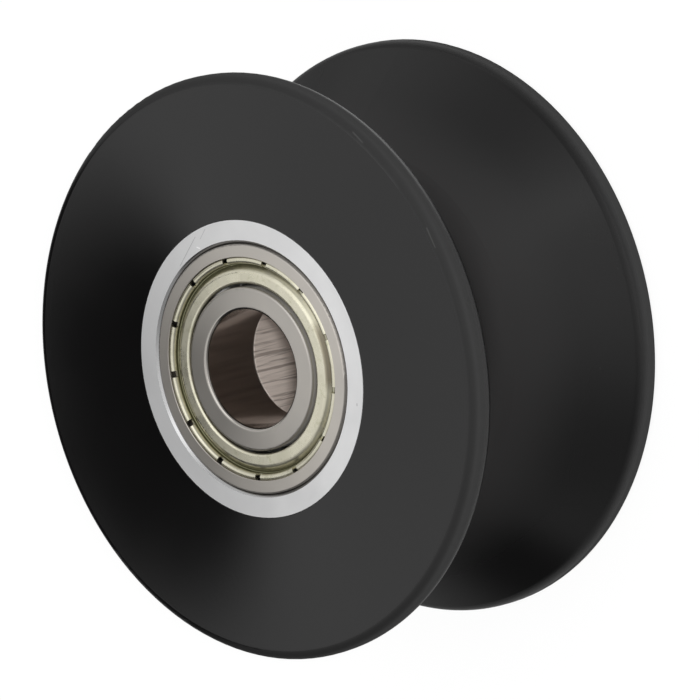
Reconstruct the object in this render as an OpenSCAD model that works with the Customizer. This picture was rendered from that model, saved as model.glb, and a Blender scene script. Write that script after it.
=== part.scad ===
/* [Wheel] */
// Outside diameter of the tread, over the two flanges
wheel_d = 98.5; // [96:0.5:104]
// Width of the wheel across its two end faces
wheel_w = 46.6; // [45:0.1:50]

/* [Groove] */
// Angle between the two flanks of the V
groove_angle = 90; // [86:1:96]
// Radius at the root of the V
root_r = 6; // [4:0.5:8]
// Width of the rim of each flange, from the end face to the rounded lip
land_w = 2.4; // [2:0.1:3]
// Radius of the lip between the rim and the flank of the groove
lip_r = 3.5; // [1:0.5:4]
// Radius of the edge between the rim and the end face
rim_r = 1.6; // [0.6:0.1:1.9]

/* [Hub] */
// Outside diameter of the metal hub that the tread is moulded on
hub_d = 50.2; // [48:0.1:52]
// Bore of the shoulder that keeps the two bearings apart
shoulder_d = 37; // [36:0.5:39]
// Chamfer at the mouth of each bearing seat
seat_chamfer = 0.65; // [0.4:0.05:1]
// Chamfer on the outer edge of each end
hub_chamfer = 0.1; // [0.05:0.05:0.5]

/* [Bearing] */
// Bore of the bearing, and so of the whole wheel
bore_d = 20; // [19:0.5:20]
// Outside diameter of the bearing
bearing_d = 42; // [42:0.5:43]
// Width of the bearing
bearing_w = 12; // [11:0.5:13]
// Diameter of one ball
ball_d = 6.35; // [6:0.05:6.35]
// Number of balls
ball_count = 9; // [7:1:9]
// Outside diameter of the inner ring beside its raceway
inner_land_d = 27.6; // [26.8:0.1:27.6]
// Inside diameter of the outer ring beside its raceway
outer_land_d = 34.6; // [34.4:0.1:35]
// Clearance between a ball and each raceway
ball_play = 0.05; // [0.02:0.01:0.08]
// Radius round the mouth of the bore
bore_edge = 0.6; // [0.3:0.1:0.8]
// Radius round the outer ring
ring_edge = 0.3; // [0.2:0.1:0.6]

/* [Shields] */
// Hole in the middle of a shield
shield_bore_d = 28.6; // [28.4:0.1:29]
// Thickness of the shield sheet
shield_t = 0.35; // [0.25:0.05:0.35]
// How far the flat of a shield lies below the end of the bearing
shield_drop = 0.35; // [0.25:0.05:0.45]
// Number of slots that let the hooked edge spring into its groove
slot_count = 13; // [9:1:16]
// Width of one slot
slot_w = 1.1; // [0.5:0.05:1.3]

/* [Cage] */
// Thickness of the cage ribbon
ribbon_t = 0.6; // [0.4:0.05:0.65]
// Radial width of the cage ribbon
ribbon_w = 2.6; // [2.2:0.1:2.6]
// Diameter of the rivet shanks
rivet_d = 1; // [0.8:0.1:1.2]

/* [Spacer] */
// Outside diameter of the spacer tube between the inner rings
spacer_d = 25; // [24:0.5:26]
// Bore of the spacer tube
spacer_bore_d = 20.6; // [20.2:0.1:21]

/* [Hidden] */
SIDES = ["upper", "lower"];
BEARING_PIECES = [
    "outer_ring", "inner_ring",
    "face_shield", "back_shield",
    "face_cage_half", "back_cage_half", "cage_rivets"
];

$fn = 96;
over = 1;                          // how far a cutting shape runs past the face it cuts

wheel_r = wheel_d / 2;
hub_r = hub_d / 2;
bearing_r = bearing_d / 2;
bore_r = bore_d / 2;
flank_lean = groove_angle / 2;     // from the middle plane of the wheel
flank_normal = [sin(flank_lean), cos(flank_lean)];

// Raceways: a circle slightly larger than the ball, set off from the pitch circle by the play.
pitch_r = (bore_r + bearing_r) / 2;
ball_r = ball_d / 2;
race_r = 1.04 * ball_r;
race_shift = race_r - ball_r - ball_play;
inner_edge = 0.45;                 // radius round the inner ring's outer edges

// The groove in the outer ring that a shield snaps into, measured from the end of the bearing.
snap_r = bearing_r - 2.11;
mouth_r = snap_r - 0.11;
mouth_bevel = 0.1;
mouth_depth = 0.17;
snap_flare = 0.33;
snap_depth = 1.95;

// A shield's sheet: its bore edge turns down, a slope leads from the flat into a valley, and
// the rim hooks over and grips the groove.
shield_edge_r = 0.5;
flat_r = snap_r - 2.79;            // where the flat ends
bend_r = 0.9;
slope = 45;
valley_r = 0.2;
hook_r = 0.6;
hook_press = 0.02;
hook_at = [snap_r + hook_press - hook_r, -0.66];
hook_leg = 0.1;
slot_depth = 0.8;                  // how far the slots run down the riser
slot_reach = 0.1;                  // how far the slots start inside the riser

// Cage: pockets clear the balls, and the rivets sit midway between them.
pocket_r = ball_r + 0.08;
ball_pitch = 360 / ball_count;
rivet_head_r = 0.9;
rivet_head_h = 0.5;
rivet_dome_r = (pow(rivet_head_r, 2) + pow(rivet_head_h, 2)) / (2 * rivet_head_h);

spacer_play = 0.05;                // end play of the spacer between the inner rings
spacer_edge = 0.3;
spacer_len = wheel_w - 2 * bearing_w - spacer_play;

plastic_black = [0.12, 0.12, 0.125];
hub_silver = [0.82, 0.83, 0.84];
ring_steel = [0.62, 0.60, 0.60];
ball_chrome = [0.75, 0.76, 0.78];
zinc_yellow = [0.74, 0.72, 0.58];
cage_steel = [0.66, 0.66, 0.66];
tube_grey = [0.56, 0.52, 0.48];

// ---------- outlines, drawn with the radius across and the axis upwards ----------

// A disc of the outline, which rounds the corner that it touches on both sides.
module disc(at, r) {
    translate(at) circle(r);
}

// Section of a plain ring with rounded corners: c_in at the bore and c_out at the outside.
module ring_section(r_in, r_out, h, c_in, c_out) {
    top = h / 2;
    polygon([
        [r_in + c_in, -top], [r_out - c_out, -top],
        [r_out, -top + c_out], [r_out, top - c_out],
        [r_out - c_out, top], [r_in + c_in, top],
        [r_in, top - c_in], [r_in, -top + c_in]
    ]);
    for (s = [-1, 1]) {
        disc([r_in + c_in, s * (top - c_in)], c_in);
        disc([r_out - c_out, s * (top - c_out)], c_out);
    }
}

// Half of the tread's section, from one end face to the middle of the wheel.
module flange_section() {
    lip_centre = [wheel_r - lip_r, land_w];
    lip_end = lip_centre + lip_r * flank_normal;
    rise = wheel_w / 2 - lip_end[1];
    root_centre = [
        lip_end[0] + (root_r - rise * flank_normal[1]) / flank_normal[0],
        wheel_w / 2
    ];
    root_end = root_centre - root_r * flank_normal;
    difference() {
        union() {
            polygon([
                [hub_r, 0], [wheel_r - rim_r, 0], [wheel_r, rim_r], [wheel_r, land_w],
                lip_end, root_end, [root_end[0], wheel_w / 2], [hub_r, wheel_w / 2]
            ]);
            disc([wheel_r - rim_r, rim_r], rim_r);
            intersection() {
                disc(lip_centre, lip_r);
                translate([lip_centre[0], land_w]) square([lip_r, lip_r]);
            }
        }
        disc(root_centre, root_r);
    }
}

// The recess for one shield, cut into the end of the outer ring at height 0.
module shield_seat_section() {
    inside = outer_land_d / 2 - over;
    polygon([
        [inside, over], [mouth_r + mouth_bevel + over, over],
        [mouth_r, -mouth_bevel], [mouth_r, -mouth_depth],
        [snap_r, -mouth_depth - snap_flare], [snap_r, -snap_depth],
        [inside, -snap_depth]
    ]);
}

// Part of a sheet that bends about a point, between two radii and two angles.
module bend_section(at, r_in, r_out, from, to) {
    step = (to - from) / 3;
    wedge = [for (i = [0:3]) 2 * r_out * [cos(from + i * step), sin(from + i * step)]];
    translate(at) intersection() {
        difference() {
            circle(r_out);
            circle(r_in);
        }
        polygon(concat([[0, 0]], wedge));
    }
}

// Section of a shield below the end of its bearing, from the bore out to the hooked rim.
module shield_section() {
    edge_at = [shield_bore_d / 2 + shield_edge_r, -shield_drop - shield_edge_r];
    bend_at = [flat_r, -shield_drop - bend_r];
    outward = [sin(slope), cos(slope)];
    riser_r = hook_at[0] - hook_r;
    valley_x = riser_r - valley_r;
    valley_reach = bend_r + valley_r - (valley_x - bend_at[0]) * outward[0];
    valley_at = [valley_x, bend_at[1] + valley_reach / outward[1]];
    bend_section(edge_at, shield_edge_r - shield_t, shield_edge_r, 90, 180);
    translate([edge_at[0], -shield_drop - shield_t]) square([flat_r - edge_at[0], shield_t]);
    bend_section(bend_at, bend_r - shield_t, bend_r, 90 - slope, 90);
    polygon([
        bend_at + (bend_r - shield_t) * outward, valley_at - (valley_r + shield_t) * outward,
        valley_at - valley_r * outward, bend_at + bend_r * outward
    ]);
    bend_section(valley_at, valley_r, valley_r + shield_t, 270 - slope, 360);
    polygon([
        [riser_r, valley_at[1]], [riser_r + shield_t, valley_at[1]],
        [riser_r + shield_t, hook_at[1]], [riser_r, hook_at[1]]
    ]);
    bend_section(hook_at, hook_r - shield_t, hook_r, 0, 180);
    translate(hook_at + [hook_r - shield_t, -hook_leg]) square([shield_t, hook_leg]);
}

// ---------- placing ----------

// Puts a bearing piece, drawn about the bearing's middle with its face upwards, in the wheel.
module seat_bearing(side) {
    lift = side == "upper" ? wheel_w - bearing_w / 2 : bearing_w / 2;
    translate([0, 0, lift]) rotate([side == "upper" ? 0 : 180, 0, 0]) children();
}

// Repeats what lies at a ball, offset by turn, round the pitch circle.
module round_pitch(turn = 0) {
    for (i = [0:ball_count - 1])
        rotate([0, 0, turn + i * ball_pitch]) translate([pitch_r, 0, 0]) children();
}

// ---------- wheel pieces ----------

module tread() {
    color(plastic_black) rotate_extrude() {
        flange_section();
        translate([0, wheel_w]) mirror([0, 1]) flange_section();
    }
}

module hub() {
    lower_half = [
        [shoulder_d / 2, bearing_w], [bearing_r, bearing_w], [bearing_r, seat_chamfer],
        [bearing_r + seat_chamfer, 0], [hub_r - hub_chamfer, 0], [hub_r, hub_chamfer]
    ];
    upper_half = [
        for (i = [len(lower_half) - 1:-1:0]) [lower_half[i][0], wheel_w - lower_half[i][1]]
    ];
    color(hub_silver) rotate_extrude() polygon(concat(lower_half, upper_half));
}

// The spacer rests on the lower inner ring.
module spacer() {
    color(tube_grey) translate([0, 0, bearing_w + spacer_len / 2]) rotate_extrude()
        ring_section(spacer_bore_d / 2, spacer_d / 2, spacer_len, spacer_edge, spacer_edge);
}

// ---------- bearing pieces ----------

module outer_ring() {
    color(ring_steel) rotate_extrude() difference() {
        ring_section(outer_land_d / 2, bearing_r, bearing_w, mouth_bevel, ring_edge);
        disc([pitch_r - race_shift, 0], race_r);
        for (s = [0, 1])
            mirror([0, s]) translate([0, bearing_w / 2]) shield_seat_section();
    }
}

module inner_ring() {
    color(ring_steel) rotate_extrude() difference() {
        ring_section(bore_r, inner_land_d / 2, bearing_w, bore_edge, inner_edge);
        disc([pitch_r + race_shift, 0], race_r);
    }
}

// A pressed shield; back puts it on the other end of the bearing.
module shield(back) {
    slot_start = hook_at[0] - hook_r - slot_reach;
    color(zinc_yellow) mirror([0, 0, back ? 1 : 0]) translate([0, 0, bearing_w / 2])
        difference() {
            rotate_extrude() shield_section();
            for (i = [0:slot_count - 1])
                rotate([0, 0, (i + 0.5) * 360 / slot_count])
                    translate([slot_start, -slot_w / 2, -slot_depth])
                        cube([snap_r - slot_start + over, slot_w, slot_depth + over]);
        }
}

// One pressed half of the ribbon cage, on the face side of the balls or on the back.
module cage_half(back) {
    color(cage_steel) mirror([0, 0, back ? 1 : 0]) difference() {
        intersection() {
            union() {
                cylinder(r = bearing_r, h = ribbon_t);
                round_pitch() sphere(pocket_r + ribbon_t);
            }
            rotate_extrude()
                translate([pitch_r - ribbon_w / 2, 0]) square([ribbon_w, 2 * ball_r]);
        }
        round_pitch() sphere(pocket_r);
        round_pitch(ball_pitch / 2)
            translate([0, 0, -over]) cylinder(d = rivet_d, h = ribbon_t + 2 * over);
    }
}

module cage_rivets() {
    color(cage_steel) round_pitch(ball_pitch / 2) rotate_extrude() {
        translate([0, -ribbon_t]) square([rivet_d / 2, 2 * ribbon_t]);
        for (s = [0, 1])
            mirror([0, s]) intersection() {
                disc([0, ribbon_t + rivet_head_h - rivet_dome_r], rivet_dome_r);
                translate([0, ribbon_t]) square([rivet_head_r, rivet_head_h]);
            }
    }
}

module ball(i) {
    color(ball_chrome) rotate([0, 0, (i - 1) * ball_pitch])
        translate([pitch_r, 0, 0]) sphere(ball_r);
}

// ---------- the wheel ----------

tread();
hub();
spacer();
for (side = SIDES) {
    seat_bearing(side) outer_ring();
    seat_bearing(side) inner_ring();
    seat_bearing(side) shield(false);
    seat_bearing(side) shield(true);
    seat_bearing(side) cage_half(false);
    seat_bearing(side) cage_half(true);
    seat_bearing(side) cage_rivets();
    for (i = [1:ball_count])
        seat_bearing(side) ball(i);
}
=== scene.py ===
import math

import bpy
import bmesh
from mathutils import Matrix, Vector


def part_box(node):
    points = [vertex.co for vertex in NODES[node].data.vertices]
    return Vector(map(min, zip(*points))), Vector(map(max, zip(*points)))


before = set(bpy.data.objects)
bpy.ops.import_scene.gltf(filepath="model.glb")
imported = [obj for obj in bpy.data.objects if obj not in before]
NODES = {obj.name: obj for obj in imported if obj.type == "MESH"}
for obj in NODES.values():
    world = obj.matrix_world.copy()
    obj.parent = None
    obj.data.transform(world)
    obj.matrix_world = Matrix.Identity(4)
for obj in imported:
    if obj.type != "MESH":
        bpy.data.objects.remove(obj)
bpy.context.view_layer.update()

# This script dresses the wheel's pieces and adds the camera, the floor, the world and the lamps.
# The wheel stands on one end with its axle on Z. An azimuth is an angle about the axle, in degrees,
# counted from the side that faces the camera. Lengths are in metres, but names that end in SPAN,
# MARK, MARKS or _mm hold millimetres. A level is 1 on a surface that faces up or down and 0 on an
# upright wall. What the values hold, by the last word of their name:
#   SPAN, LEVELS, COSINES   ends of a mask, which rises from the first to the second or is 1 between
#   NOISE                   scale and detail, then the roughness of the noise where it isn't 0.5
#   ROUGH                   roughness of the surface, or its two limits
#   TINT                    a colour and its share
#   LINES                   lines per millimetre of radius, and their height
#   MARK, MARKS             both ends of a mark as radius and azimuth, then its width

MM = 0.001

# ---------------------------------------------------------------- sizes from the frame

TREAD_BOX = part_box("tread")
WHEEL_W = TREAD_BOX[1].z
TOP = Vector((0, 0, WHEEL_W))        # middle of the upper end


# ---------------------------------------------------------------- camera

VIEW_TURN = math.radians(-76.08)     # heading of the camera's side of the wheel
VIEW_LEAN = math.radians(43.45)      # between the axle and the line of sight
VIEW_ROLL = math.radians(13.73)
VIEW_DISTANCE = 1.0797               # to the middle of the upper end
VIEW_OFFSET = (-0.0165, -0.0032)     # of that middle from the line of sight, right and up
LENS = 335.2
SENSOR = 36.0
CLIP_NEAR = 0.05
CLIP_FAR = 20


def make_camera():
    """A long lens from above, rolled so that the axle points left and a little down."""
    axle = Vector((
        -math.cos(VIEW_ROLL) * math.sin(VIEW_LEAN),
        -math.sin(VIEW_ROLL) * math.sin(VIEW_LEAN),
        math.cos(VIEW_LEAN),
    ))
    middle = Vector((VIEW_OFFSET[0], VIEW_OFFSET[1], -VIEW_DISTANCE))
    towards = -middle.normalized()
    across = (towards - towards.dot(axle) * axle).normalized()
    up = axle.cross(across)
    turn = Matrix.Rotation(VIEW_TURN, 3, "Z") @ Matrix((across, up, axle))
    data = bpy.data.cameras.new("camera")
    data.lens = LENS
    data.sensor_width = SENSOR
    data.clip_start = CLIP_NEAR
    data.clip_end = CLIP_FAR
    camera = bpy.data.objects.new("camera", data)
    camera.matrix_world = Matrix.Translation(TOP - turn @ middle) @ turn.to_4x4()
    bpy.context.scene.collection.objects.link(camera)
    bpy.context.scene.camera = camera


def outward(azimuth):
    """The level direction away from the axle at an azimuth."""
    angle = VIEW_TURN + math.radians(azimuth)
    return Vector((math.cos(angle), math.sin(angle), 0))


def face_point(radius_mm, azimuth):
    """A point of the upper end."""
    return radius_mm * MM * outward(azimuth) + TOP


# ---------------------------------------------------------------- node helpers

class NodeTree:
    """Builds the nodes of one material or world with short calls."""

    def __init__(self, owner, output):
        owner.use_nodes = True
        self.owner = owner
        self.tree = owner.node_tree
        self.tree.nodes.clear()
        self.output = self.node(output)

    def fill(self, socket, value):
        """Links another node's output to a socket, or sets the socket to a constant."""
        if isinstance(value, bpy.types.NodeSocket):
            self.tree.links.new(value, socket)
        else:
            socket.default_value = value

    def node(self, kind, inputs=None, **settings):
        made = self.tree.nodes.new("ShaderNode" + kind)
        for key, value in settings.items():
            setattr(made, key, value)
        for key, value in (inputs or {}).items():
            self.fill(made.inputs[key], value)
        return made

    def math(self, operation, a, b=0.0, c=0.0, clamp=False):
        return self.node("Math", {0: a, 1: b, 2: c}, operation=operation, use_clamp=clamp).outputs[0]

    def times(self, a, b):
        return self.math("MULTIPLY", a, b)

    def larger(self, a, b):
        return self.math("MAXIMUM", a, b)

    def ramp(self, value, low, high, a=0.0, b=1.0):
        """Goes smoothly from a to b while a value goes from low to high."""
        return self.node(
            "MapRange", {"Value": value, "From Min": low, "From Max": high, "To Min": a, "To Max": b},
            interpolation_type="SMOOTHSTEP",
        ).outputs[0]

    def blend(self, share, a, b):
        """A number between a and b."""
        return self.node("Mix", {0: share, 2: a, 3: b}).outputs[0]

    def mix(self, share, a, b):
        """A colour between a and b."""
        return self.node("Mix", {0: share, 6: a, 7: b}, data_type="RGBA").outputs[2]

    def along(self, vector, direction):
        """How far a vector goes in a direction."""
        return self.node(
            "VectorMath", {0: vector, 1: direction}, operation="DOT_PRODUCT").outputs["Value"]

    def close(self, shader):
        """Links the last shader to the tree's output."""
        self.tree.links.new(shader.outputs[0], self.output.inputs[0])


def grey(value):
    return (value, value, value, 1)


FLAT_LEVELS = (0.9, 0.99)
PATCH_LEVELS = (0.3, 0.7)            # of the noise, between which patches change


class Surface(NodeTree):
    """A material with the masks that the turned pieces share."""

    def __init__(self, name):
        super().__init__(bpy.data.materials.new(name), "OutputMaterial")
        self.position = self.node("TexCoord").outputs["Object"]
        x, y, self.z = self.node("SeparateXYZ", {"Vector": self.position}).outputs
        self.radius = self.math("SQRT", self.math("ADD", self.times(x, x), self.times(y, y)))
        normal = self.node("NewGeometry").outputs["Normal"]
        self.level = self.math("ABSOLUTE", self.node("SeparateXYZ", {"Vector": normal}).outputs[2])
        self.flat = self.ramp(self.level, *FLAT_LEVELS)
        # depth below the upper end or above the lower one, whichever is nearer
        off_middle = self.math("ABSOLUTE", self.math("SUBTRACT", self.z, WHEEL_W / 2))
        self.depth = self.math("SUBTRACT", WHEEL_W / 2, off_middle)

    def ramp_mm(self, length, low_mm, high_mm, a=0.0, b=1.0):
        return self.ramp(length, low_mm * MM, high_mm * MM, a, b)

    def between(self, length, low_mm, high_mm, soft_mm=0.1):
        """1 while a length is between two limits, 0 outside them."""
        rise = self.ramp_mm(length, low_mm - soft_mm, low_mm)
        fall = self.ramp_mm(length, high_mm, high_mm + soft_mm, 1.0, 0.0)
        return self.times(rise, fall)

    def tint(self, colour, mask, tone, share):
        """A colour with a share of another tone where a mask is 1."""
        return self.mix(self.times(mask, share), colour, tone)

    def noise(self, scale, detail, rough=0.5, vector=None):
        return self.node("TexNoise", {
            "Vector": vector or self.position, "Scale": scale, "Detail": detail, "Roughness": rough,
        }).outputs["Fac"]

    def patches(self, noise, low, high):
        """A value that changes between two limits in soft patches."""
        return self.ramp(self.noise(*noise), *PATCH_LEVELS, low, high)

    def lines(self, per_mm, height):
        """Height that changes only with the radius, like the lines that a lathe tool leaves."""
        rings = self.node(
            "TexNoise", {"W": self.times(self.radius, per_mm / MM), "Scale": 1.0, "Detail": 3.0},
            noise_dimensions="1D",
        ).outputs["Fac"]
        return self.times(rings, height)

    def stroke(self, start, end, width_mm, drop=0.0):
        """1 on a fine straight mark on the upper end, or a drop below it, fading at its sides."""
        start, end = (face_point(*point) - Vector((0, 0, drop)) for point in (start, end))
        whole = end - start
        to_point = self.node(
            "VectorMath", {0: self.position, 1: start}, operation="SUBTRACT").outputs[0]
        share = self.math("DIVIDE", self.along(to_point, whole), whole.length_squared, clamp=True)
        foot = self.node("VectorMath", {0: whole, 3: share}, operation="SCALE").outputs[0]
        off = self.node("VectorMath", {0: to_point, 1: foot}, operation="DISTANCE").outputs["Value"]
        return self.ramp_mm(off, width_mm / 2, width_mm / 4)

    def coned(self, *slopes):
        """Normal of flat faces that fall away outward, their slope a series in the radius."""
        height = 0.0
        for power in range(len(slopes), 0, -1):
            height = self.math("MULTIPLY_ADD", height, self.radius, -slopes[power - 1] / power)
        height = self.times(height, self.radius)
        return self.node("Bump", {"Height": height, "Strength": self.flat, "Distance": 1.0}).outputs[0]

    def relief(self, *heights, over=None):
        """Normal of fine relief, on the surface itself or over another normal."""
        total = 0.0
        for height in heights:
            total = self.math("ADD", total, height)
        inputs = {"Height": total, "Strength": 1.0, "Distance": 1.0}
        if over is not None:
            inputs["Normal"] = over
        return self.node("Bump", inputs).outputs[0]

    def finish(self, **inputs):
        self.close(self.node("BsdfPrincipled", {
            key.replace("_", " "): value for key, value in inputs.items()
        }))
        return self.owner


# ---------------------------------------------------------------- plastic of the tread

BLACK = (0.0014, 0.0014, 0.0015, 1)
BLACK_WARM = (0.0024, 0.0022, 0.0022, 1)
BLACK_NOISE = (60.0, 3.0)
BLACK_IOR = 1.46
BLACK_LINES = (4.0, 2e-6)
GRAIN_NOISE = (1500.0, 2.0)
GRAIN_HEIGHT = 2e-6
BLACK_PATCH_NOISE = (35.0, 4.0)
FACE_SLOPES = (0.2245, -3.0)         # of the end faces, in powers of the radius in metres
FACE_ROUGH = (0.12, 0.16)
FLANK_SPAN = (33.0, 44.0)            # radii, from the rougher inside to the smoother outside
FLANK_ROUGH = (0.46, 0.28)
FLANK_UNEVEN = 0.03
GROOVE_SPAN = (43.0, 30.0)           # radii
GROOVE_LEVELS = (0.9, 0.8)
GROOVE_TINT = ((0.018, 0.017, 0.017, 1), 0.8)
RIM_SPAN = (47.3, 48.2)              # radii
RIM_DEPTH_SPAN = (5.0, 2.6)
RIM_ROUGH = 0.16
RIM_SIDE_SPAN = (-36.0, -12.0)           # from the axle towards the camera
PALE_RIM_DEPTH_SPAN = (0.0, 1.1)         # where the rim gets paler
PALE_RIM_SHARE = 0.08                    # at the end face
PALE_RIM_LOWER_SHARE = 1.0               # past that depth, on the lower flange
PALE_RIM_UPPER_SHARE = 0.85              # and on the upper one
PALE_RIM_TONE = grey(0.028)
RUBBED_DEPTH_SPAN = (3.2, 2.0)       # where that side of the rim gets rough
RUBBED_ROUGH = 0.62
LIP_HIGHLIGHT_DEPTH_SPAN = (3.1, 4.5)          # of the painted highlight, a thin bright line on the upper flange
LIP_HIGHLIGHT_SOFT_SPAN = 0.4
LIP_HIGHLIGHT_AZIMUTH = 80                     # where the painted highlight is brightest
LIP_HIGHLIGHT_SPAN = (18.0, 48.0)              # from the axle towards that azimuth
LIP_HIGHLIGHT_TONE = grey(0.12)
SCUFF_MARKS = (
    ((48.35, 18.5), (48.2, 14.4), 0.35),
    ((48.4, 43.6), (48.2, 40.6), 0.35),
)
SCUFF_DROP = 0.2 * MM                # of the rounded rim below the face, at the scuffs
SCUFF_SHARE = 0.25
DUST_NOISE = (900.0, 2.0, 0.7)
DUST_LEVELS = (0.74, 0.8)            # of the noise
DUST_SHARE = 0.12
DUST_TONE = (0.09, 0.09, 0.088, 1)


def black_plastic():
    """Turned end faces, moulded flanks that get smoother outward, rims that are paler and rougher except
    on the side away from the camera, and a painted highlight along the upper flange's edge.
    """
    surface = Surface("black_plastic")
    upper = surface.ramp(surface.z, WHEEL_W / 2, WHEEL_W / 2 + MM)
    groove = surface.times(
        surface.ramp_mm(surface.radius, *GROOVE_SPAN), surface.ramp(surface.level, *GROOVE_LEVELS))
    rim = surface.times(
        surface.ramp_mm(surface.radius, *RIM_SPAN), surface.ramp_mm(surface.depth, *RIM_DEPTH_SPAN))
    # the rims are paler and rougher, except on the side away from the camera
    rim_side = surface.times(
        rim, surface.ramp_mm(surface.along(surface.position, outward(0)), *RIM_SIDE_SPAN))
    share = surface.ramp(upper, 0.0, 1.0, PALE_RIM_LOWER_SHARE, PALE_RIM_UPPER_SHARE)
    pale = surface.times(rim_side, surface.ramp_mm(surface.depth, *PALE_RIM_DEPTH_SPAN, PALE_RIM_SHARE, share))
    rubbed = surface.times(rim_side, surface.ramp_mm(surface.depth, *RUBBED_DEPTH_SPAN))
    # painted highlight: a thin bright line along the upper flange's edge, brightest towards azimuth 80
    lip_highlight = surface.times(
        surface.between(surface.depth, *LIP_HIGHLIGHT_DEPTH_SPAN, LIP_HIGHLIGHT_SOFT_SPAN),
        surface.ramp_mm(surface.along(surface.position, outward(LIP_HIGHLIGHT_AZIMUTH)), *LIP_HIGHLIGHT_SPAN))
    scuffs = surface.larger(*(surface.stroke(*mark, SCUFF_DROP) for mark in SCUFF_MARKS))
    dust = surface.ramp(surface.noise(*DUST_NOISE), *DUST_LEVELS)
    marks = surface.larger(surface.times(scuffs, SCUFF_SHARE), surface.times(dust, DUST_SHARE))

    colour = surface.mix(surface.noise(*BLACK_NOISE), BLACK, BLACK_WARM)
    colour = surface.mix(marks, colour, DUST_TONE)
    colour = surface.tint(colour, groove, *GROOVE_TINT)
    colour = surface.mix(pale, colour, PALE_RIM_TONE)
    # the painted highlight, on the upper flange only
    colour = surface.mix(surface.times(lip_highlight, upper), colour, LIP_HIGHLIGHT_TONE)

    moulded = surface.math(
        "ADD", surface.ramp_mm(surface.radius, *FLANK_SPAN, *FLANK_ROUGH),
        surface.patches(BLACK_PATCH_NOISE, -FLANK_UNEVEN, FLANK_UNEVEN))
    faced = surface.patches(BLACK_PATCH_NOISE, *FACE_ROUGH)
    rough = surface.blend(surface.flat, moulded, faced)
    rough = surface.blend(rim, rough, RIM_ROUGH)
    rough = surface.blend(rubbed, rough, RUBBED_ROUGH)

    grain = surface.times(surface.noise(*GRAIN_NOISE), GRAIN_HEIGHT)
    return surface.finish(
        Base_Color=colour, Roughness=rough, IOR=BLACK_IOR,
        Normal=surface.relief(
            surface.lines(*BLACK_LINES), grain, over=surface.coned(*FACE_SLOPES)))


# ---------------------------------------------------------------- metals

# painted shade, for the crease between the outer ring and the hub
CREASE_SHADE = (0.07, 0.065, 0.06, 1)
TURNED_CLOUD_NOISE = (180.0, 4.0)
TURNED_PATCH_NOISE = (90.0, 3.0)

HUB_LIGHT = grey(0.785)
HUB_DARK = (0.67, 0.67, 0.675, 1)
HUB_DARK_SHARE = 0.7
HUB_ROUGH = (0.34, 0.44)
HUB_LINES = (6.0, 1.5e-6)
HUB_SLOPE = 0.074
MOUTH_LEVELS = (0.96, 0.9)           # of the chamfers and the seat
MOUTH_SHADE_TINT = (grey(0.25), 0.3)
MOUTH_ROUGH = 0.25
HUB_CREASE_SHADE_SPAN = (20.5, 21.2)        # radii of the painted shade in the crease round the outer ring
HUB_CREASE_SHADE_SOFT_SPAN = 0.15
HUB_CREASE_SHADE_SHARE = 0.85
SCRATCH_MARKS = (
    ((24.11, 102.5), (22.03, 117.7), 0.14),
    ((24.53, 95.9), (23.38, 100.3), 0.12),
)
SCRATCH_DEPTH = 6e-6
DENT_MARK = ((23.84, 335.5), (23.80, 336.2), 0.3)
DENT_TINT = (grey(0.3), 0.55)
NICK_MARK = ((22.05, 102.6), (22.45, 103.8), 0.3)
NICK_TONE = grey(0.98)


def hub_metal():
    """Turned light metal with a few small marks on its upper end, and painted shade on its chamfers, its
    seat and in the crease round the outer ring.
    """
    surface = Surface("hub_metal")
    mouth = surface.ramp(surface.level, *MOUTH_LEVELS)
    # painted shade in the crease round the outer ring
    crease_shade = surface.between(surface.radius, *HUB_CREASE_SHADE_SPAN, HUB_CREASE_SHADE_SOFT_SPAN)
    scratches = surface.larger(*(surface.stroke(*mark) for mark in SCRATCH_MARKS))
    dents = surface.larger(scratches, surface.stroke(*DENT_MARK))

    colour = surface.tint(HUB_LIGHT, surface.noise(*TURNED_CLOUD_NOISE), HUB_DARK, HUB_DARK_SHARE)
    # painted shade, darkening the chamfers and the seat
    colour = surface.tint(colour, mouth, *MOUTH_SHADE_TINT)
    colour = surface.tint(colour, crease_shade, CREASE_SHADE, HUB_CREASE_SHADE_SHARE)
    colour = surface.tint(colour, dents, *DENT_TINT)
    colour = surface.mix(surface.stroke(*NICK_MARK), colour, NICK_TONE)

    rough = surface.blend(mouth, surface.patches(TURNED_PATCH_NOISE, *HUB_ROUGH), MOUTH_ROUGH)
    cuts = surface.times(scratches, -SCRATCH_DEPTH)
    return surface.finish(
        Base_Color=colour, Metallic=1.0, Roughness=rough,
        Normal=surface.relief(surface.lines(*HUB_LINES), cuts, over=surface.coned(HUB_SLOPE)))


RING_LIGHT = (0.51, 0.48, 0.435, 1)
RING_DARK = (0.42, 0.40, 0.38, 1)
RING_DARK_SHARE = 0.6
RING_ROUGH = (0.31, 0.38)
RING_LINES = (7.0, 1.2e-6)
RING_SLOPE = 0.121
UPRIGHT_LEVELS = (0.12, 0.04)
INNER_SPAN = (15.0, 14.0)            # radii
INNER_TINT = (grey(0.12), 0.22)
BORE_SHADE_SPAN = (9.0, 10.5)              # radii that hold the inner ring's bore, where shade is painted
BORE_SHADE_TONE = (0.38, 0.345, 0.32, 1)
LAND_SPAN = (13.3, 14.3)             # radii that hold the inner ring's land beside the shield
SEAT_SPAN = (20.8, 21.2)             # radii that hold the outer ring's outside
WALL_METAL = 0.45                    # of those two walls, which mirror only black gaps
RING_CREASE_SHADE_SPAN = (20.85, 21.2)      # radii of the painted shade in the crease at the outer ring's rim
RING_CREASE_SHADE_SHARE = 0.35
EDGE_SPAN = (12.5, 13.0)             # radii, from the smoother inner edges to the rougher outer ones
EDGE_ROUGH = (0.16, 0.35)


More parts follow.
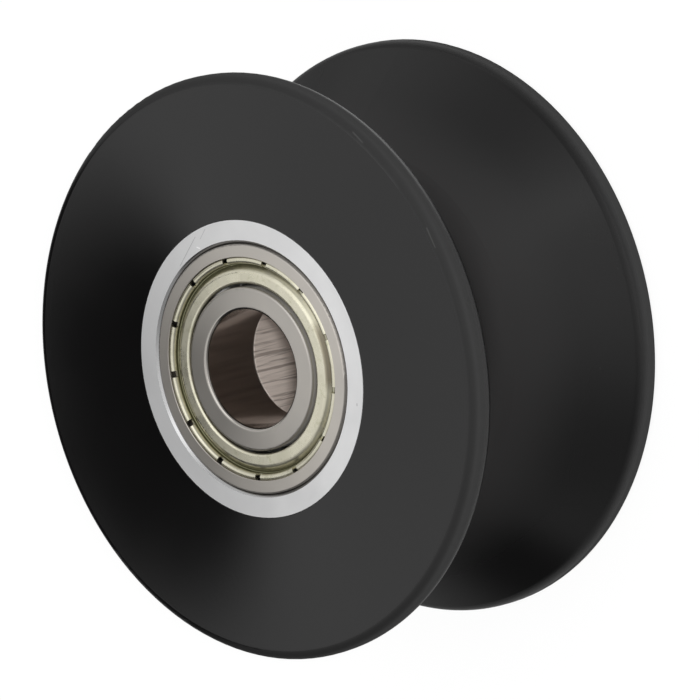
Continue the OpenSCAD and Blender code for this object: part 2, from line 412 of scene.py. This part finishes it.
def ring_steel():
    """Ground bearing steel, a little darker on the inner ring, with painted shade in its bore and in the
    crease at the outer ring's rim.
    """
    surface = Surface("ring_steel")
    inner = surface.ramp_mm(surface.radius, *INNER_SPAN)
    upright = surface.ramp(surface.level, *UPRIGHT_LEVELS)
    bore = surface.times(upright, surface.between(surface.radius, *BORE_SHADE_SPAN))
    walls = surface.larger(
        surface.between(surface.radius, *LAND_SPAN), surface.between(surface.radius, *SEAT_SPAN))
    # painted shade in the crease between the outer ring and the hub
    crease_shade = surface.between(surface.radius, *RING_CREASE_SHADE_SPAN)

    colour = surface.tint(RING_LIGHT, surface.noise(*TURNED_CLOUD_NOISE), RING_DARK, RING_DARK_SHARE)
    colour = surface.tint(colour, inner, *INNER_TINT)
    # painted shade in the inner ring's bore
    colour = surface.mix(bore, colour, BORE_SHADE_TONE)
    colour = surface.tint(colour, crease_shade, CREASE_SHADE, RING_CREASE_SHADE_SHARE)

    metal = surface.ramp(surface.times(upright, walls), 0.0, 1.0, 1.0, WALL_METAL)
    edges = surface.ramp_mm(surface.radius, *EDGE_SPAN, *EDGE_ROUGH)
    rough = surface.blend(surface.flat, edges, surface.patches(TURNED_PATCH_NOISE, *RING_ROUGH))
    return surface.finish(
        Base_Color=colour, Metallic=metal, Roughness=rough,
        Normal=surface.relief(surface.lines(*RING_LINES), over=surface.coned(RING_SLOPE)))


ZINC_LIGHT = (0.69, 0.66, 0.54, 1)
ZINC_DARK = (0.55, 0.53, 0.41, 1)
ZINC_CLOUD_NOISE = (260.0, 4.0)
ZINC_PATCH_NOISE = (300.0, 3.0)
ZINC_ROUGH = (0.22, 0.34)            # of the flat parts
ZINC_BENT_ROUGH = 0.34               # of the sloping and upright ones
ZINC_LINES = (5.0, 1.2e-6)
ZINC_SLOPE = 0.097
DIMPLE_NOISE = (900.0, 2.0)
DIMPLE_HEIGHT = 4e-6
STAIN_NOISE = (700.0, 5.0, 0.65)
STAIN_LEVELS = (0.52, 0.7)           # of the noise
STAIN_TINT = ((0.30, 0.30, 0.17, 1), 0.35)
VALLEY_SHADE_SPAN = (17.4, 18.2)           # radii of the painted shade in the valley
VALLEY_SHADE_DEPTH_SPAN = (0.85, 1.3)
VALLEY_SHADE_TINT = ((0.09, 0.09, 0.04, 1), 0.85)
BEND_SPAN = (16.6, 17.3)             # radii of the slope
BEND_SOFT_SPAN = 0.2
BEND_TINT = ((0.22, 0.22, 0.12, 1), 0.12)
# a darker brown patch on the slope on the camera's side
DARK_PATCH_AZIMUTH = -3
DARK_PATCH_COSINES = (0.92, 0.985)        # of the angle from that azimuth
DARK_PATCH_SPAN = (16.6, 17.5)            # radii
DARK_PATCH_SOFT_SPAN = 0.4
DARK_PATCH_TINT = ((0.16, 0.13, 0.09, 1), 0.75)


def shield_zinc():
    """Pressed sheet with pale yellow zinc and stains, with painted shade in the valley and a darker brown
    patch on the slope on the camera's side.
    """
    surface = Surface("shield_zinc")
    stain = surface.ramp(surface.noise(*STAIN_NOISE), *STAIN_LEVELS)
    # painted shade in the valley
    valley_shade = surface.times(
        surface.between(surface.radius, *VALLEY_SHADE_SPAN), surface.between(surface.depth, *VALLEY_SHADE_DEPTH_SPAN))
    bend = surface.between(surface.radius, *BEND_SPAN, BEND_SOFT_SPAN)
    # a darker brown patch on the slope on the camera's side
    cosine = surface.math(
        "DIVIDE", surface.along(surface.position, outward(DARK_PATCH_AZIMUTH)), surface.radius)
    dark_patch = surface.times(
        surface.ramp(cosine, *DARK_PATCH_COSINES),
        surface.between(surface.radius, *DARK_PATCH_SPAN, DARK_PATCH_SOFT_SPAN))

    colour = surface.mix(surface.noise(*ZINC_CLOUD_NOISE), ZINC_LIGHT, ZINC_DARK)
    for mask, tint in (
            (stain, STAIN_TINT), (valley_shade, VALLEY_SHADE_TINT), (bend, BEND_TINT), (dark_patch, DARK_PATCH_TINT)):
        colour = surface.tint(colour, mask, *tint)

    rough = surface.blend(
        surface.flat, ZINC_BENT_ROUGH, surface.patches(ZINC_PATCH_NOISE, *ZINC_ROUGH))
    dimples = surface.times(surface.noise(*DIMPLE_NOISE), DIMPLE_HEIGHT)
    return surface.finish(
        Base_Color=colour, Metallic=1.0, Roughness=rough,
        Normal=surface.relief(
            surface.lines(*ZINC_LINES), dimples, over=surface.coned(ZINC_SLOPE)))


# painted light: made pale to stand in for light that barely reaches the spacer deep in the bore
SPACER_BRIGHTENED = (0.90, 0.80, 0.73, 1)
SPACER_DARK = (0.42, 0.36, 0.32, 1)
SPACER_METAL = 0.2
SPACER_ROUGH = (0.42, 0.6)
STREAK_STRETCH = (1.0, 1.0, 0.05)    # draws the noise out along the axle
STREAK_NOISE = (2200.0, 4.0, 0.6)
STREAK_HEIGHT = 2.5e-5
BOLD_NOISE = (1100.0, 3.0, 0.6)
BOLD_LEVELS = (0.52, 0.62)           # of the noise
BOLD_TINT = ((0.13, 0.10, 0.085, 1), 0.55)


def spacer_steel():
    """Dull drawn tube, streaked along the axle; its pale colour is painted light, deep in the bore."""
    surface = Surface("spacer_steel")
    stretched = surface.node(
        "VectorMath", {0: surface.position, 1: STREAK_STRETCH}, operation="MULTIPLY").outputs[0]
    streaks = surface.noise(*STREAK_NOISE, vector=stretched)
    bold = surface.ramp(surface.noise(*BOLD_NOISE, vector=stretched), *BOLD_LEVELS)
    colour = surface.mix(streaks, SPACER_BRIGHTENED, SPACER_DARK)
    colour = surface.tint(colour, bold, *BOLD_TINT)
    return surface.finish(
        Base_Color=colour, Metallic=SPACER_METAL,
        Roughness=surface.ramp(streaks, *PATCH_LEVELS, *SPACER_ROUGH),
        Normal=surface.relief(surface.times(streaks, STREAK_HEIGHT)))


PLAIN_CLOUD_NOISE = (400.0, 4.0)
PLAIN_PATCH_NOISE = (250.0, 3.0)
PLAIN_GRAIN_NOISE = (2500.0, 2.0)
CAGE_LIGHT = (0.55, 0.55, 0.54, 1)
CAGE_DARK = (0.42, 0.41, 0.40, 1)
CAGE_ROUGH = (0.25, 0.38)
CAGE_GRAIN = 2e-6
BALL_LIGHT = (0.72, 0.73, 0.75, 1)
BALL_DARK = (0.66, 0.67, 0.69, 1)
BALL_ROUGH = (0.06, 0.1)
BALL_GRAIN = 1e-7


def plain_metal(name, light, dark, rough, grain):
    """Metal of the pieces inside the bearings."""
    surface = Surface(name)
    return surface.finish(
        Base_Color=surface.mix(surface.noise(*PLAIN_CLOUD_NOISE), light, dark), Metallic=1.0,
        Roughness=surface.patches(PLAIN_PATCH_NOISE, *rough),
        Normal=surface.relief(surface.times(surface.noise(*PLAIN_GRAIN_NOISE), grain)))


# a word in the node's name, and the material of such nodes
MATERIALS = {
    "tread": black_plastic(),
    "hub": hub_metal(),
    "ring": ring_steel(),
    "shield": shield_zinc(),
    "cage": plain_metal("cage_steel", CAGE_LIGHT, CAGE_DARK, CAGE_ROUGH, CAGE_GRAIN),
    "ball": plain_metal("ball_steel", BALL_LIGHT, BALL_DARK, BALL_ROUGH, BALL_GRAIN),
    "spacer": spacer_steel(),
}


def dress_nodes():
    for name, obj in NODES.items():
        key = next(k for k in MATERIALS if k in name)
        obj.data.materials.clear()
        obj.data.materials.append(MATERIALS[key])


# ---------------------------------------------------------------- floor

FLOOR_SIZE = 6.0
FLOOR_WHITE = 0.95
FLOOR_GLOW = 0.88                    # share of plain white in what the camera sees of the floor
FLOOR_MIRRORED = 0.24                # brightness of the floor in mirrored rays


def make_floor():
    """A white floor that keeps the wheel's shadow faint, and looks darker in reflections."""
    mesh = bpy.data.meshes.new("floor")
    bm = bmesh.new()
    bmesh.ops.create_grid(bm, x_segments=1, y_segments=1, size=FLOOR_SIZE / 2)
    bm.to_mesh(mesh)
    bm.free()
    floor = bpy.data.objects.new("floor", mesh)
    bpy.context.scene.collection.objects.link(floor)
    shader = NodeTree(bpy.data.materials.new("floor_white"), "OutputMaterial")
    matte = shader.node("BsdfDiffuse", {"Color": grey(FLOOR_WHITE)})
    path = shader.node("LightPath")
    glossy = path.outputs["Is Glossy Ray"]
    glow = shader.node("Emission", {
        "Color": grey(1.0), "Strength": shader.ramp(glossy, 0.0, 1.0, 1.0, FLOOR_MIRRORED),
    })
    share = shader.larger(shader.times(path.outputs["Is Camera Ray"], FLOOR_GLOW), glossy)
    shader.close(shader.node("MixShader", {0: share, 1: matte.outputs[0], 2: glow.outputs[0]}))
    mesh.materials.append(shader.owner)


# ---------------------------------------------------------------- world

# The world is white, and lights matt surfaces evenly. Mirrored rays see two dark things in it: a flag
# low down behind the wheel, and a dim room on the camera's side and to both sides of it.

WORLD_LEVEL = 0.8                    # for matt surfaces
DARKEST = 0.03                       # of full white, at the flag's middle
FLAG_AZIMUTH = 190
FLAG_COSINES = (0.0, 0.5)            # of the angle from that azimuth, at the flag's ends
FLAG_RIGHT_COSINES = (0.5, 0.3)      # of the angle from azimuth 90, where the flag fades
FLAG_EDGE = math.radians(38.0)       # elevation of the flag's upper edge
FLAG_SOFT = math.radians(5.5)
FLAG_TILT = math.radians(4.2)        # rise of that edge from one side to the other
ROOM_DARK = 0.42                     # on the camera's side
ROOM_COSINES = (-0.3, 0.5)           # of the angle from the camera's side
ROOM_TOP = math.radians(44.0)        # elevation of the room's upper edge
ROOM_SOFT = math.radians(7.0)
LEFT_DARK = 0.56                     # at azimuth -90
LEFT_COSINES = (0.0, -0.95)          # of the angle from azimuth 90
RIGHT_DARK = 0.4                     # at azimuth 90
RIGHT_COSINES = (0.3, 0.85)


def make_world():
    world = bpy.data.worlds.new("studio")
    bpy.context.scene.world = world
    shader = NodeTree(world, "OutputWorld")
    heading = shader.node("TexCoord").outputs["Generated"]
    height = shader.node("SeparateXYZ", {"Vector": heading}).outputs[2]
    to_right = shader.along(heading, outward(90))
    elevation = shader.math(
        "ADD", shader.math("ARCSINE", height), shader.times(to_right, FLAG_TILT))

    behind = shader.ramp(shader.along(heading, outward(FLAG_AZIMUTH)), *FLAG_COSINES)
    below_flag = shader.ramp(elevation, FLAG_EDGE + FLAG_SOFT, FLAG_EDGE - FLAG_SOFT)
    flag = shader.times(shader.times(behind, below_flag), shader.ramp(to_right, *FLAG_RIGHT_COSINES))

    front = shader.ramp(shader.along(heading, outward(0)), *ROOM_COSINES, 0.0, ROOM_DARK)
    sides = shader.math(
        "ADD", shader.ramp(to_right, *LEFT_COSINES, 0.0, LEFT_DARK),
        shader.ramp(to_right, *RIGHT_COSINES, 0.0, RIGHT_DARK))
    around = shader.math("ADD", front, shader.times(sides, shader.math("SUBTRACT", 1.0, front)))
    below_top = shader.ramp(elevation, ROOM_TOP + ROOM_SOFT, ROOM_TOP - ROOM_SOFT)
    room = shader.times(around, below_top)

    path = shader.node("LightPath")
    glossy = path.outputs["Is Glossy Ray"]
    dark = shader.times(shader.larger(flag, room), glossy)
    full = shader.larger(glossy, path.outputs["Is Camera Ray"])
    strength = shader.times(
        shader.ramp(dark, 0.0, 1.0, 1.0, DARKEST), shader.ramp(full, 0.0, 1.0, WORLD_LEVEL, 1.0))
    shader.close(shader.node("Background", {"Color": grey(1.0), "Strength": strength}))


# ---------------------------------------------------------------- lamps

KEY_LAMP_AT = (0.5, -0.15, 1.0)
KEY_LAMP_AIM = (0, 0, 0.02)
KEY_LAMP_SIZE = 1.0
KEY_LAMP_POWER = 2.5
BORE_LAMP_LEAN = math.radians(46.5)  # from the axle, so that it reaches the spacer past the ring
BORE_LAMP_REACH = 1.5
BORE_LAMP_SIZE = 0.12
BORE_LAMP_POWER = 13.0
BORE_LAMP_AT = TOP + BORE_LAMP_REACH * Vector((
    math.sin(BORE_LAMP_LEAN) * math.cos(VIEW_TURN),
    math.sin(BORE_LAMP_LEAN) * math.sin(VIEW_TURN),
    math.cos(BORE_LAMP_LEAN),
))


def make_lamp(name, place, aim, size, power, mirrored=True):
    """A square lamp; one that is not mirrored lights matt surfaces only."""
    data = bpy.data.lights.new(name, "AREA")
    data.size = size
    data.energy = power
    lamp = bpy.data.objects.new(name, data)
    lamp.visible_glossy = mirrored
    lamp.location = place
    lamp.rotation_euler = (Vector(aim) - Vector(place)).to_track_quat("-Z", "Y").to_euler()
    bpy.context.scene.collection.objects.link(lamp)


make_camera()
dress_nodes()
make_floor()
make_world()
make_lamp("key", KEY_LAMP_AT, KEY_LAMP_AIM, KEY_LAMP_SIZE, KEY_LAMP_POWER)
make_lamp("bore", BORE_LAMP_AT, TOP, BORE_LAMP_SIZE, BORE_LAMP_POWER, mirrored=False)

bpy.context.scene.view_settings.view_transform = "Standard"
